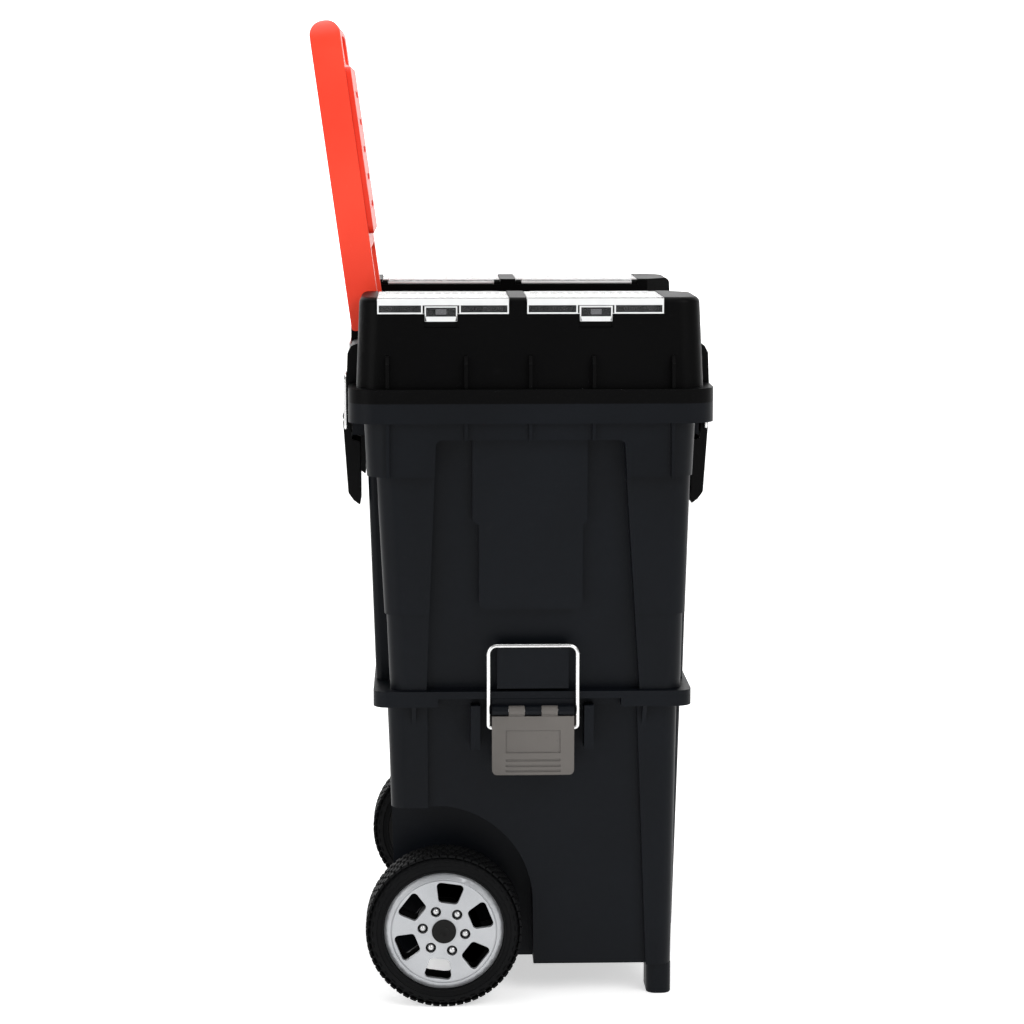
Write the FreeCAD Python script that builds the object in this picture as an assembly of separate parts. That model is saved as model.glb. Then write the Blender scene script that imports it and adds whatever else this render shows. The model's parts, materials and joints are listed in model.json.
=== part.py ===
import FreeCAD
import Part
import math
import os
from FreeCAD import Vector

# Rolling tool chest.  Millimetres, +Z up, X along the chest's long side, front towards -Y.
# The model is drawn about the centre of the rim and moved at the end, so that the origin
# is the bottom centre of the whole chest.

# ---- driving sizes -------------------------------------------------------------------
wall = 3.0                      # general moulded wall

rim_half_x = 230.0              # rim band where lid and box meet, the widest part
rim_front = 171.8
rim_back = 169.8
rim_corner = 26.0
bin_floor = 31.0                # underside of the lower bin
bin_top = 306.0                 # the upper box stands here
upper_box_height = 276.5
lid_height = 97.5

seam = bin_top + upper_box_height       # parting line of lid and box
rim_low = seam - 18.5
rim_high = seam + 13.5
lid_top = seam + lid_height
lid_floor = lid_top - 46.0      # floor of the valley and of the organiser pockets
valley_half = 106.0

flange_height = 15.0
flange_half_x = rim_half_x - 25.0
flange_front = 154.5
flange_back = 148.5

step_height = bin_top + 74.0    # step in the upper box's corner columns
collar_low = rim_low - 51.0
collar_notch_top = rim_low - 16.0
collar_half_x = rim_half_x - 8.0
collar_half_y = rim_back - 14.8
centre_half = rim_half_x - 85.0         # half width of the bowed front and back panels
rib_places = (-133.0, -59.0, 0.0, 60.0, 133.0)      # upright ribs on the left and right
rib_half = 1.6

wheel_radius = 75.0
tyre_width = 46.0
wheel_face = rim_half_x - 12.0  # outer face of the wheels, from the middle
axle_y = 82.2
axle_radius = 6.0
well_wall = wheel_face - tyre_width - 22.0      # wheel-well wall, from the middle

handle_half = 100.0
handle_thickness = 29.4
handle_pivot_y = 156.0
handle_pivot_z = lid_floor + 23.0
handle_reach = 284.0            # pivot to the top of the grip
handle_lean = 7.75              # degrees back from upright
grip_bar = 15.0
grip_opening = 28.0

wire = 2.0                      # radius of the latch wire
running_clearance = 0.05        # shaft in hole, on the radius
side_clearance = 0.4            # between hinge knuckles
seat_clearance = 1.5            # box locating rib inside the bin's mouth
past = 400.0                    # further than anything, for cuts


# ---- shape helpers -------------------------------------------------------------------
def block(x0, x1, y0, y1, z0, z1):
    return Part.makeBox(x1 - x0, y1 - y0, z1 - z0, Vector(x0, y0, z0))


def rod(radius, start, end):
    """Cylinder between two points."""
    axis = Vector(*end) - Vector(*start)
    return Part.makeCylinder(radius, axis.Length, Vector(*start), axis)


def fuse(shapes):
    shapes = list(shapes)
    return shapes[0].fuse(shapes[1:]).removeSplitter() if len(shapes) > 1 else shapes[0]


def compound(shapes):
    return Part.makeCompound(list(shapes))


def outline(points, radii, to_3d):
    """Closed wire through the points, each corner rounded by its radius."""
    if not isinstance(radii, (list, tuple)):
        radii = [radii] * len(points)
    corners = []
    for i, (corner, radius) in enumerate(zip(points, radii)):
        here = Vector(corner[0], corner[1], 0)
        before = Vector(*points[i - 1], 0) - here
        after = Vector(*points[(i + 1) % len(points)], 0) - here
        before.normalize()
        after.normalize()
        if radius == 0:
            corners.append((here, None, here))
            continue
        half = before.getAngle(after) / 2
        middle = before + after
        middle.normalize()
        reach = radius / math.tan(half)
        crown = here + middle * (radius / math.sin(half) - radius)
        corners.append((here + before * reach, crown, here + after * reach))
    edges = []
    for i, (arrive, crown, leave) in enumerate(corners):
        following = corners[(i + 1) % len(corners)][0]
        if crown is not None:
            edges.append(Part.Arc(to_3d(arrive), to_3d(crown), to_3d(leave)).toShape())
        if (following - leave).Length > 1e-6:
            edges.append(Part.makeLine(to_3d(leave), to_3d(following)))
    return Part.Wire(edges)


def prism_x(points, x0, x1, radii=0):
    """Outline in (y, z), run along X."""
    wire_loop = outline(points, radii, lambda p: Vector(x0, p.x, p.y))
    return Part.Face(wire_loop).extrude(Vector(x1 - x0, 0, 0))


def prism_z(points, z0, z1, radii=0):
    """Outline in (x, y), run along Z."""
    wire_loop = outline(points, radii, lambda p: Vector(p.x, p.y, z0))
    return Part.Face(wire_loop).extrude(Vector(0, 0, z1 - z0))


def prism_y(points, y0, y1, radii=0):
    """Outline in (x, z), run along Y."""
    wire_loop = outline(points, radii, lambda p: Vector(p.x, y0, p.y))
    return Part.Face(wire_loop).extrude(Vector(0, y1 - y0, 0))


def rectangle(x0, x1, y0, y1):
    return [(x0, y0), (x1, y0), (x1, y1), (x0, y1)]


def taper(low, high, radius=0):
    """Block that changes size with height; each end is (x0, x1, y0, y1, z)."""
    ends = [outline(rectangle(*end[:4]), radius, lambda p, z=end[4]: Vector(p.x, p.y, z))
            for end in (low, high)]
    return Part.makeLoft(ends, True, True)


def even_taper(low, high, radius=0):
    """As taper, the same to left and right; each end is (half_x, front, back, z)."""
    return taper(*[(-h, h, -front, back, z) for h, front, back, z in (low, high)], radius)


def mirrored(shape):
    return shape.mirror(Vector(0, 0, 0), Vector(1, 0, 0))


def both_sides(shape):
    return [shape, mirrored(shape)]


def turned(shape, degrees):
    """Turned about the vertical axis through the middle of the chest."""
    copy = shape.copy()
    copy.rotate(Vector(0, 0, 0), Vector(0, 0, 1), degrees)
    return copy


nodes = {}


# ---- wheels --------------------------------------------------------------------------
tyre_inner = 57.5
tyre_shoulder = 9.0
hub_bore = axle_radius + running_clearance
hub_inner_face = wheel_face - tyre_width - 1.0
cap_face = wheel_face - 2.0
cap_thickness = 5.0
cap_radius = tyre_inner - 0.2
cap_bevel = 6.0
cap_groove = 50.4
hub_band = 5.0                  # thickness of the hub's outer band
web_inner = hub_inner_face + 17.0
web_thickness = 5.0
barrel_radius = 15.0
hub_core = 27.0
hub_core_face = cap_face - cap_thickness - 6.0
window_inner = 27.5
window_outer = 47.0
window_half_inner = 9.0
window_half_outer = 14.0
window_count = 6
window_start = 8.0              # degrees from straight up
screw_count = 6
screw_circle = 20.5
screw_start = 38.0
screw_head = 3.4
screw_shank = 1.9
screw_pocket = 5.0
centre_cap_radius = 11.5
nut_radius = 10.0
nut_thickness = 2.0
washer_radius = 13.0
washer_thickness = 2.0
end_play = 0.3                  # of the wheel along its axle
axle_inner_end = well_wall - wall - nut_thickness - 2.0


def about_axle(shape, degrees):
    copy = shape.copy()
    copy.rotate(Vector(0, axle_y, wheel_radius), Vector(1, 0, 0), degrees)
    return copy


def wheel_disc(radius, x0, x1):
    return rod(radius, (x0, axle_y, wheel_radius), (x1, axle_y, wheel_radius))


def wheel_ring(profile, radii=0):
    """Solid of revolution about the axle from (x, radius) points."""
    loop = outline(profile, radii, lambda p: Vector(p.x, axle_y, wheel_radius + p.y))
    return Part.Face(loop).revolve(Vector(0, axle_y, wheel_radius), Vector(1, 0, 0), 360)


def wheel_windows(x0, x1):
    """Rounded openings round the wheel's middle."""
    low = wheel_radius + window_inner
    high = wheel_radius + window_outer
    corners = [(axle_y - window_half_inner, low), (axle_y + window_half_inner, low),
               (axle_y + window_half_outer, high), (axle_y - window_half_outer, high)]
    one = prism_x(corners, x0, x1, 4.0)
    return [about_axle(one, window_start + 360 / window_count * i) for i in range(window_count)]


def make_tyre():
    inner_face = wheel_face - tyre_width
    profile = [(inner_face, tyre_inner), (wheel_face, tyre_inner),
               (wheel_face, wheel_radius), (inner_face, wheel_radius)]
    return wheel_ring(profile, [0, 0, tyre_shoulder, tyre_shoulder])


def make_hub():
    core_face = cap_face - cap_thickness
    rim = wheel_disc(tyre_inner, hub_inner_face + 1, core_face)
    rim = rim.cut(wheel_disc(tyre_inner - hub_band, hub_inner_face, cap_face))
    web = wheel_disc(tyre_inner - hub_band + 1, web_inner, web_inner + web_thickness)
    web = web.cut(compound(wheel_windows(web_inner - 1, web_inner + web_thickness + 1)))
    core = wheel_disc(hub_core, web_inner, core_face)
    barrel = wheel_disc(barrel_radius, hub_inner_face, web_inner + web_thickness)
    hub = fuse([rim, web, core, barrel])
    hub = hub.cut(wheel_disc(hub_bore, hub_inner_face - 1, wheel_face))
    return hub.cut(wheel_disc(washer_radius, hub_core_face, wheel_face))


def make_hub_cap():
    back = cap_face - cap_thickness
    cap = wheel_ring([(back, centre_cap_radius), (back, cap_radius), (cap_face - 3.0, cap_radius),
                      (cap_face, cap_radius - cap_bevel), (cap_face, centre_cap_radius)])
    groove = wheel_ring([(cap_face - 1.0, cap_groove - 0.5), (cap_face - 1.0, cap_groove + 0.5),
                         (cap_face + 1, cap_groove + 0.5), (cap_face + 1, cap_groove - 0.5)])
    pockets = [rod(screw_pocket, (back - 1, y, z), (cap_face + 1, y, z))
               for y, z in screw_places()]
    return cap.cut(compound([groove] + pockets + wheel_windows(back - 1, cap_face + 1)))


def screw_places():
    for i in range(screw_count):
        angle = math.radians(screw_start + 360 / screw_count * i)
        yield (axle_y - screw_circle * math.sin(angle),
               wheel_radius + screw_circle * math.cos(angle))


def make_cap_screws():
    """Round-headed screws that stand in the cap's pockets, on the hub's core."""
    seat = cap_face - cap_thickness
    screws = []
    for y, z in screw_places():
        head = rod(screw_head, (seat, y, z), (seat + 2.0, y, z))
        dome = Part.makeSphere(screw_head, Vector(seat + 2.0, y, z))
        dome = dome.cut(rod(2 * screw_head, (seat - 2 * screw_head, y, z), (seat + 1.0, y, z)))
        shank = rod(screw_shank, (seat - 9.0, y, z), (seat + 1.0, y, z))
        screws.append(fuse([head, dome, shank]))
    return screws


def make_centre_cap():
    back = cap_face - cap_thickness + 0.5
    cap = wheel_disc(centre_cap_radius, back, wheel_face - 0.5)
    cap = cap.cut(wheel_disc(centre_cap_radius - 2.5, back - 1, back + 3.0))
    return cap.cut(Part.makeSphere(8.0, Vector(wheel_face + 6.0, axle_y, wheel_radius)))


wheel = {
    "tyre": make_tyre(),
    "wheel_hub": make_hub().cut(compound(make_cap_screws())),
    "hub_cap": make_hub_cap(),
    "cap_screws": compound(make_cap_screws()),
    "centre_cap": make_centre_cap(),
}
for name, shape in wheel.items():
    nodes["right_" + name] = shape
    nodes["left_" + name] = mirrored(shape)

axle_outer_end = hub_core_face + end_play + nut_thickness + 1.5
boss_end = hub_inner_face - end_play - washer_thickness
axle = wheel_disc(axle_radius, axle_inner_end, axle_outer_end)
washer = wheel_disc(washer_radius, boss_end, boss_end + washer_thickness).cut(axle)


def push_nut(x0):
    return wheel_disc(nut_radius, x0, x0 + nut_thickness).cut(axle)


inner_nut_face = well_wall - wall - nut_thickness
push_nuts = [push_nut(hub_core_face + end_play), push_nut(inner_nut_face)]
nodes["wheel_axles"] = compound(both_sides(axle))
nodes["axle_washers"] = compound(both_sides(washer))
nodes["axle_push_nuts"] = compound(both_sides(push_nuts[0]) + both_sides(push_nuts[1]))


# ---- latches -------------------------------------------------------------------------
# Each latch is drawn facing the front, its width along X, then turned into place.
knuckle_radius = 4.5
pin_radius = 1.6
lever_thickness = 7.0
bail_side_gap = 1.2             # between a lever's side and the bail's leg
bail_corner = 8.0
bail_foot = 4.0                 # how far the bail's ends reach into the lever


class Latch:
    """A lever hinged along its top edge, with a wire bail hooked into its sides."""

    def __init__(self, half_width, hinge_out, hinge_z, pivot_z, bail_out, bail_top):
        self.half = half_width
        self.out = hinge_out
        self.hinge_z = hinge_z
        self.pivot_z = pivot_z
        self.bail_out = bail_out
        self.bail_top = bail_top
        self.leg = half_width + bail_side_gap + wire

    def knuckles(self, own):
        """Hinge barrels: places 0, 2 and 4 are the bracket's, 1 and 3 the lever's."""
        width = 2 * self.half / 5
        places = (1, 3) if own else (0, 2, 4)
        for place in places:
            left = -self.half + place * width + side_clearance / 2
            yield left, left + width - side_clearance

    def barrel(self, x0, x1, radius):
        return rod(radius, (x0, -self.out, self.hinge_z), (x1, -self.out, self.hinge_z))

    def bracket(self, wall_out, low, high):
        """Barrels that grow out of the moulding behind the lever."""
        front = self.out - knuckle_radius - 0.6
        shapes = [block(-self.half, self.half, -front, -wall_out, low, high)]
        for x0, x1 in self.knuckles(own=False):
            shapes.append(self.barrel(x0, x1, knuckle_radius))
            shapes.append(block(x0, x1, -self.out, -wall_out,
                                self.hinge_z - knuckle_radius, self.hinge_z + knuckle_radius))
        return fuse(shapes).cut(self.pin())

    def pin(self):
        return self.barrel(-self.half + 0.5, self.half - 0.5, pin_radius)

    def lever(self, plate):
        """The plate's profile is a list of (out, z) points with a radius each."""
        points = [(-out, z) for out, z, _ in plate]
        radii = [radius for _, _, radius in plate]
        body = prism_x(points, -self.half, self.half, radii)
        top = self.hinge_z - knuckle_radius - 1.0
        body = body.cut(block(-past, past, -past, 0, top, top + past))
        shapes = [body]
        for x0, x1 in self.knuckles(own=True):
            shapes.append(self.barrel(x0, x1, knuckle_radius))
            neck_out = self.out - lever_thickness / 2
            shapes.append(block(x0, x1, -neck_out - 5.0, -neck_out, top - 2.0, self.hinge_z))
        lever = fuse(shapes)
        lever = lever.cut(self.barrel(-self.half, self.half, pin_radius + running_clearance))
        for side in (-1, 1):
            start = (side * (self.half - bail_foot - 0.5), -self.bail_out, self.pivot_z)
            end = (side * (self.half + 1), -self.bail_out, self.pivot_z)
            lever = lever.cut(rod(wire + running_clearance, start, end))
        return lever

    def bail(self):
        """Round wire: two short feet, two legs and the bar across the top."""
        foot_bend = 3.0
        y = -self.bail_out
        leg = self.leg

        def at(x, z):
            return Vector(x, y, z)

        def arc(centre_x, centre_z, radius, start):
            angles = [math.radians(start + step) for step in (0, -45, -90)]
            stops = [at(centre_x + radius * math.cos(a), centre_z + radius * math.sin(a))
                     for a in angles]
            return Part.Arc(*stops).toShape()

        foot_x = self.half - bail_foot
        low = self.pivot_z
        high = self.bail_top
        edges = [
            Part.makeLine(at(-foot_x, low), at(-leg + foot_bend, low)),
            arc(-leg + foot_bend, low + foot_bend, foot_bend, 270),
            Part.makeLine(at(-leg, low + foot_bend), at(-leg, high - bail_corner)),
            arc(-leg + bail_corner, high - bail_corner, bail_corner, 180),
            Part.makeLine(at(-leg + bail_corner, high), at(leg - bail_corner, high)),
            arc(leg - bail_corner, high - bail_corner, bail_corner, 90),
            Part.makeLine(at(leg, high - bail_corner), at(leg, low + foot_bend)),
            arc(leg - foot_bend, low + foot_bend, foot_bend, 0),
            Part.makeLine(at(leg - foot_bend, low), at(foot_x, low)),
        ]
        ring = Part.Wire(Part.makeCircle(wire, at(-foot_x, low), Vector(1, 0, 0)))
        return Part.Wire(edges).makePipeShell([ring], True, False)


side_latch = Latch(half_width=39.0, hinge_out=flange_half_x + 6.0, hinge_z=bin_top - 17.0,
                   pivot_z=bin_top - 34.0, bail_out=flange_half_x + 4.5,
                   bail_top=bin_top + 45.0)
side_latch_shift = -3.0         # the side latches sit a little in front of the middle
side_lever_reach = 63.0         # hinge to the lever's free edge
side_lever_corner = 6.0

lid_latch = Latch(half_width=26.0, hinge_out=rim_front - 2.3, hinge_z=rim_low - 1.0,
                  pivot_z=rim_low - 12.0, bail_out=rim_front - 1.2, bail_top=rim_high + 7.0)
lid_latch_x = 120.0
rear_latch_shift = 3.0          # the rear ones stand out further
lid_lever_reach = 86.0


def make_side_lever():
    inner = side_latch.bail_out - lever_thickness / 2
    outer = inner + lever_thickness
    low = side_latch.hinge_z - side_lever_reach
    plate = [(inner, side_latch.hinge_z, 0), (outer, side_latch.hinge_z, 0),
             (outer, low, 3.0), (inner, low, 2.0)]
    lever = side_latch.lever(plate)
    panel = block(-26, 26, -outer - 1, -outer + 1.2, low + 22, low + 44)
    grooves = [block(-26, 26, -outer - 1, -outer + 1.0, low + rise - 1.0, low + rise + 1.0)
               for rise in (15.0, 9.5, 4.5)]
    hollow = block(-side_latch.half + 4, side_latch.half - 4, -inner - 3.0, -inner + 1,
                   low + 6, low + 36)
    shape = prism_y(rectangle(-side_latch.half, side_latch.half, low, low + past), -past, 0,
                    [side_lever_corner, side_lever_corner, 0, 0])
    return lever.cut(compound([panel, hollow] + grooves)).common(shape)


def make_lid_lever():
    """Flap with skirts that reach back to the box."""
    top = lid_latch.hinge_z
    out = lid_latch.out
    low = top - lid_lever_reach
    plate = [(out - 2.5, top, 0), (out + 4.5, top, 0), (out - 0.5, low + 12, 6.0),
             (out - 5.5, low + 5, 3.0), (out - 12.0, low, 1.0), (out - 12.0, top - 25, 0),
             (out - 4.0, top - 22, 0)]
    lever = lid_latch.lever(plate)
    bay = [(out - 13.0, low + 6), (out - 8.5, low + 8), (out - 4.5, low + 16),
           (out - 1.8, top - 22), (out - 13.0, top - 22)]
    side = lid_latch.half - 2.5
    return lever.cut(prism_x([(-y, z) for y, z in bay], -side, side))


side_parts = {"latch_lever": make_side_lever(), "latch_bail": side_latch.bail()}
for name, shape in side_parts.items():
    for side, degrees, shift in (("left", -90, 1), ("right", 90, 1)):
        placed = turned(shape, degrees)
        placed.translate(Vector(0, side_latch_shift, 0))
        nodes[side + "_" + name] = placed


def side_placed(shape):
    """Copies on the left and right sides of the chest."""
    copies = [turned(shape, -90), turned(shape, 90)]
    for copy in copies:
        copy.translate(Vector(0, side_latch_shift, 0))
    return copies


def lid_latch_placed(shape, rear_out=rear_latch_shift):
    """Copies at the four lid latches, named by their place."""
    places = {}
    for end, degrees in (("front", 0), ("rear", 180)):
        for side, sign in (("left", -1), ("right", 1)):
            copy = turned(shape, degrees)
            out = rear_out if end == "rear" else 0.0
            copy.translate(Vector(sign * lid_latch_x, out, 0))
            places[end + "_" + side] = copy
    return places


nodes["side_latch_pins"] = compound(side_placed(side_latch.pin()))
nodes["lid_latch_pins"] = compound(lid_latch_placed(lid_latch.pin()).values())
for name, shape in (("lid_lever", make_lid_lever()), ("lid_bail", lid_latch.bail())):
    for place, copy in lid_latch_placed(shape).items():
        nodes[place + "_" + name] = copy


# ---- lower bin -----------------------------------------------------------------------
bin_low = (rim_half_x - 44.0, 138.5, 128.2, bin_floor)
bin_high = (rim_half_x - 40.0, 142.6, 135.4, bin_top)
bin_bow_low = (centre_half, 142.5, 127.5, bin_floor + 28.0)
bin_bow_high = (centre_half, 149.7, 137.0, bin_top)
bin_corner = 14.0
side_pocket = 7.0               # depth of the panels between the corner columns
pocket_y_low = (114.0, 97.0)    # front and back edges of the bin's side panels
pocket_y_high = (103.0, 97.0)
well_front = -5.5
well_top = 189.0


def inset(end, by):
    half, front, back, z = end
    return (half - by, front - by, back - by, z)


def at_height(low, high, z):
    """Section between two ends of a taper."""
    share = (z - low[3]) / (high[3] - low[3])
    return tuple(a + (b - a) * share for a, b in zip(low[:3], high[:3])) + (z,)


def side_pockets(low, high, grown):
    """Shallow panels on the left and right faces; ends are (plane_x, front, back, z)."""
    ends = []
    for plane, front, back, z in (low, high):
        ends.append((plane - grown, past, -front - grown, back + grown, z))
    return both_sides(taper(*ends))


def wheel_well(grown):
    """Arch over the wheel, open to the side and the rear."""
    front = well_front - grown
    top = well_top + grown
    knee = Vector(0, front + 1.5, 92)
    crown = Vector(0, 79.0, top)
    waist = Vector(0, 21.0 - 0.75 * grown, 158 + 0.7 * grown)
    loop = [
        Part.makeLine(Vector(0, front, -20), knee),
        Part.Arc(knee, waist, crown).toShape(),
        Part.makeLine(crown, Vector(0, 200, top)),
        Part.makeLine(Vector(0, 200, top), Vector(0, 200, -20)),
        Part.makeLine(Vector(0, 200, -20), Vector(0, front, -20)),
    ]
    arch = Part.Face(Part.Wire(loop)).extrude(Vector(past, 0, 0))
    arch.translate(Vector(well_wall - grown, 0, 0))
    return both_sides(arch)


def bin_side_pockets(top, grown):
    """The panels between the bin's corner columns, up to a height."""
    low = (bin_low[0] - side_pocket,) + pocket_y_low + (bin_floor - 10,)
    high = (bin_high[0] - side_pocket,) + pocket_y_high + (top,)
    return side_pockets(low, high, grown)


def make_lower_bin():
    flange_low = bin_top - flange_height
    ledge = bin_top - 7.0
    body = even_taper(bin_low, bin_high, bin_corner)
    bow = even_taper(bin_bow_low, bin_bow_high, 6)
    flange = even_taper((flange_half_x, flange_front, flange_back, flange_low),
                        (flange_half_x, flange_front, flange_back, bin_top), bin_corner)
    ledge_cut = both_sides(block(bin_high[0] + 1, past, -87, 87, flange_low - 1, ledge))
    body = body.fuse([bow, flange.cut(compound(ledge_cut))])
    body = body.cut(compound(bin_side_pockets(flange_low, 0)))

    floor = bin_floor + wall
    inner_low = inset(at_height(bin_low, bin_high, floor), wall)
    inner_high = inset(at_height(bin_low, bin_high, bin_top + 1), wall)
    inside = even_taper(inner_low, inner_high, bin_corner - wall)
    bow_start = inset(at_height(bin_bow_low, bin_bow_high, bin_bow_low[3] + 8), wall)
    bow_end = inset(at_height(bin_bow_low, bin_bow_high, bin_top + 1), wall)
    inside = inside.fuse(even_taper(bow_start, bow_end, 4))
    inside = inside.cut(compound(bin_side_pockets(flange_low, wall) + wheel_well(wall)))
    shell = body.cut(inside).cut(compound(wheel_well(0)))

    boss = wheel_disc(washer_radius + 1, well_wall - wall, boss_end)
    rib_foot = bin_high[0] - side_pocket - 1
    ribs = [block(rib_foot, flange_half_x, y - 4.5, y + 4.5, flange_low - 41, flange_low + 1)
            for y in (-56.5, 51.5)]
    gussets = [prism_y([(bin_high[0] - 1, flange_low - 21), (bin_high[0] + 12, flange_low + 1),
                        (bin_high[0] - 1, flange_low + 1)], y - 2, y + 2) for y in (-110, 110)]
    extra = both_sides(boss) + [s for r in ribs + gussets for s in both_sides(r)]
    bracket = side_latch.bracket(rib_foot, side_latch.hinge_z - 8.0, ledge)
    shell = shell.fuse(extra + side_placed(bracket)).removeSplitter()
    return shell.cut(compound(both_sides(axle) + side_placed(side_latch.pin())))


nodes["lower_bin"] = make_lower_bin()

foot_x = rim_half_x - 72.0
foot_front = 139.0
foot_depth = 24.0
foot_half = 22.0
foot_outline = rectangle(foot_x - foot_half, foot_x + foot_half, -foot_front,
                         foot_depth - foot_front)
foot = prism_z(foot_outline, 0, bin_floor, 9.0)
nodes["front_feet"] = compound(both_sides(foot))


# ---- upper box -----------------------------------------------------------------------
box_low = (rim_half_x - 30.0, 145.0, 132.6, bin_top)
box_step_low = (rim_half_x - 26.5, 146.2, 135.6, step_height)
box_step_high = (rim_half_x - 24.0, 148.2, 137.4, step_height)
box_high = (rim_half_x - 18.0, 151.6, 144.0, collar_low)
box_bow_low = (centre_half, 151.4, 146.6, bin_top)
box_bow_high = (centre_half, 156.6, 153.6, collar_low + 7.0)
box_corner = 16.0
upper_pocket = 10.0
pocket_corner = 8.0
pad_out = side_latch.bail_out - wire - 0.5
recess_half = lid_latch.leg + wire + 1.2        # passage for a bail, from its middle
recess_out = lid_latch.bail_out - wire - 0.4


def ring_band(half_x, front, back, low, high, corner):
    return even_taper((half_x, front, back, low), (half_x, front, back, high), corner)


def bail_passages():
    """Notches in the rim where the lid latches' wires cross it."""
    notch = block(-recess_half, recess_half, -past, -recess_out, rim_low - 1, rim_high + 1)
    return compound(lid_latch_placed(notch).values())


def make_label_plate(inside):
    """Raised panel with a narrower waist, on the left and right faces."""
    plane = box_low[0] - upper_pocket
    shoulder = collar_notch_top - 82.0
    foot = bin_top + 79.0
    label = [(-54, rim_low - 10), (54, rim_low - 10), (54, shoulder + 4), (50, shoulder),
             (50, foot), (-48, foot), (-48, shoulder), (-54, shoulder + 4)]
    plate = Part.Face(outline(label, [0, 0, 3, 3, 8, 8, 3, 3],
                              lambda p: Vector(plane - 1, -p.x, p.y)))
    plate = plate.extrude(Vector(past, 0, 0))
    front = taper((plane - 2, box_low[0] + 3.5, -70, 70, foot - 5),
                  (plane - 2, box_low[0] + 11.0, -70, 70, collar_notch_top + 1))
    return plate.common(front).cut(inside)


def make_upper_box():
    lower = even_taper(box_low, box_step_low, box_corner)
    upper = even_taper(box_step_high, box_high, box_corner)
    bow = even_taper(box_bow_low, box_bow_high, 6)
    collar = even_taper((collar_half_x, collar_half_y - 2, collar_half_y - 2, collar_low),
                        (collar_half_x + 1, collar_half_y + 1, collar_half_y + 1, seam), 22)
    rim = ring_band(rim_half_x, rim_front, rim_back, rim_low, seam, rim_corner)
    body = lower.fuse([upper, bow, collar, rim])
    pocket_low = (box_low[0] - upper_pocket, 105, 98, bin_top - 1)
    pocket_high = (box_high[0] - upper_pocket, 88, 88, collar_notch_top)
    window = prism_x([(-130, bin_top - 2), (130, bin_top - 2), (88.2, collar_notch_top),
                      (-88.2, collar_notch_top)], -past, past,
                     [0, 0, pocket_corner, pocket_corner])
    body = body.cut(compound(side_pockets(pocket_low, pocket_high, 0)).common(window))

    floor = bin_top + wall
    inside_low = even_taper(inset(at_height(box_low, box_step_low, floor), wall),
                            inset(box_step_low, wall), box_corner - wall)
    inside_high = even_taper(inset(box_step_low, wall),
                             inset(box_high[:3] + (collar_notch_top,), wall),
                             box_corner - wall)
    bow_inside = even_taper(inset(at_height(box_bow_low, box_bow_high, floor), wall),
                            inset(box_bow_high, wall), 4)
    mouth = ring_band(collar_half_x - wall, collar_half_y - wall, collar_half_y - wall,
                      collar_low + wall, seam + 1, 19)
    inside = inside_low.fuse([inside_high, bow_inside, mouth])
    inside = inside.cut(compound(side_pockets(pocket_low, pocket_high, wall)))
    shell = body.cut(inside)

    groove = ring_band(rim_half_x - wall, rim_front - wall, rim_back - wall, rim_low - 4,
                       seam - wall, rim_corner - wall)
    groove = groove.cut(ring_band(collar_half_x + 1, collar_half_y + 1, collar_half_y + 1,
                                  rim_low - 14, seam, 22))
    filled = block(-recess_half - wall, recess_half + wall, -past, 0, rim_low - 5, seam)
    shell = shell.cut(groove.cut(compound(lid_latch_placed(filled, 0).values())))
    barrel_room = lid_latch.barrel(-lid_latch.half - 1, lid_latch.half + 1, knuckle_radius + 0.8)
    barrel_rooms = list(lid_latch_placed(barrel_room).values())
    shell = shell.cut(compound([bail_passages()] + barrel_rooms))

    extra = both_sides(make_label_plate(inside))
    plane = box_low[0] - upper_pocket - 1
    pad_half = 34.0
    pad_sides = (side_latch_shift - pad_half, side_latch_shift + pad_half)
    pad = taper((plane, pad_out - 1.5) + pad_sides + (bin_top + 3,),
                (plane, pad_out) + pad_sides + (bin_top + 44,))
    extra += both_sides(pad.cut(inside))

    for y in rib_places:
        low = collar_low if abs(y) > 88 else collar_notch_top
        rib = block(collar_half_x - 1, rim_half_x - 3, y - rib_half, y + rib_half, low,
                    rim_low + 2)
        extra += both_sides(rib)

    seat_low = inset(at_height(bin_low, bin_high, bin_top - 8), wall + seat_clearance)
    seat_high = inset(bin_high, wall + seat_clearance)
    seat = even_taper(seat_low, seat_high, bin_corner - wall - 1)
    seat = seat.cut(even_taper(inset(seat_low, wall), inset(seat_high, wall), 7))
    extra.append(seat.cut(compound(bin_side_pockets(bin_top, wall + seat_clearance))))

    bracket = lid_latch.bracket(collar_half_y - 6.0, rim_low - 19.0, rim_low)
    extra += [copy.cut(inside) for copy in lid_latch_placed(bracket).values()]
    shell = shell.fuse(extra).removeSplitter()
    return shell.cut(compound(lid_latch_placed(lid_latch.pin()).values()))


nodes["upper_box"] = make_upper_box()


# ---- lid -----------------------------------------------------------------------------
lid_low = (rim_half_x - 11.0, 162.8, 162.4, rim_high)
lid_high = (rim_half_x - 18.0, 159.3, 158.9, lid_top)
lid_corner = 22.0
lid_edge = 6.0                  # rounding of the top edge
lid_lip = 4.0                   # plate of the lid that rests on the box
lid_rib_height = 30.0
cover_front = (-124.0, 3.0)     # y spans of the organiser covers
cover_rear = (20.0, 142.0)
cover_thickness = 2.5
cover_drop = 15.0               # how far the covers lap down the side faces
cover_gap = 0.6                 # round a cover in its seat
pocket_inner = valley_half + 10.0
pocket_outer = lid_high[0] - 5.0
cover_hinge_x = valley_half + 5.5
cover_hinge_z = lid_top - 4.0
cover_barrel = 3.0
cover_pin_radius = 1.2
cover_seat = lid_top - cover_thickness - 0.5
lug_length = 6.0
tongue = 3.0                    # the lid's tongue reaches this far into the box
valley_chamfer = 25.0
valley_rear_chamfer = 9.0


def cover_spans():
    return (("front", cover_front), ("rear", cover_rear))


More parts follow.
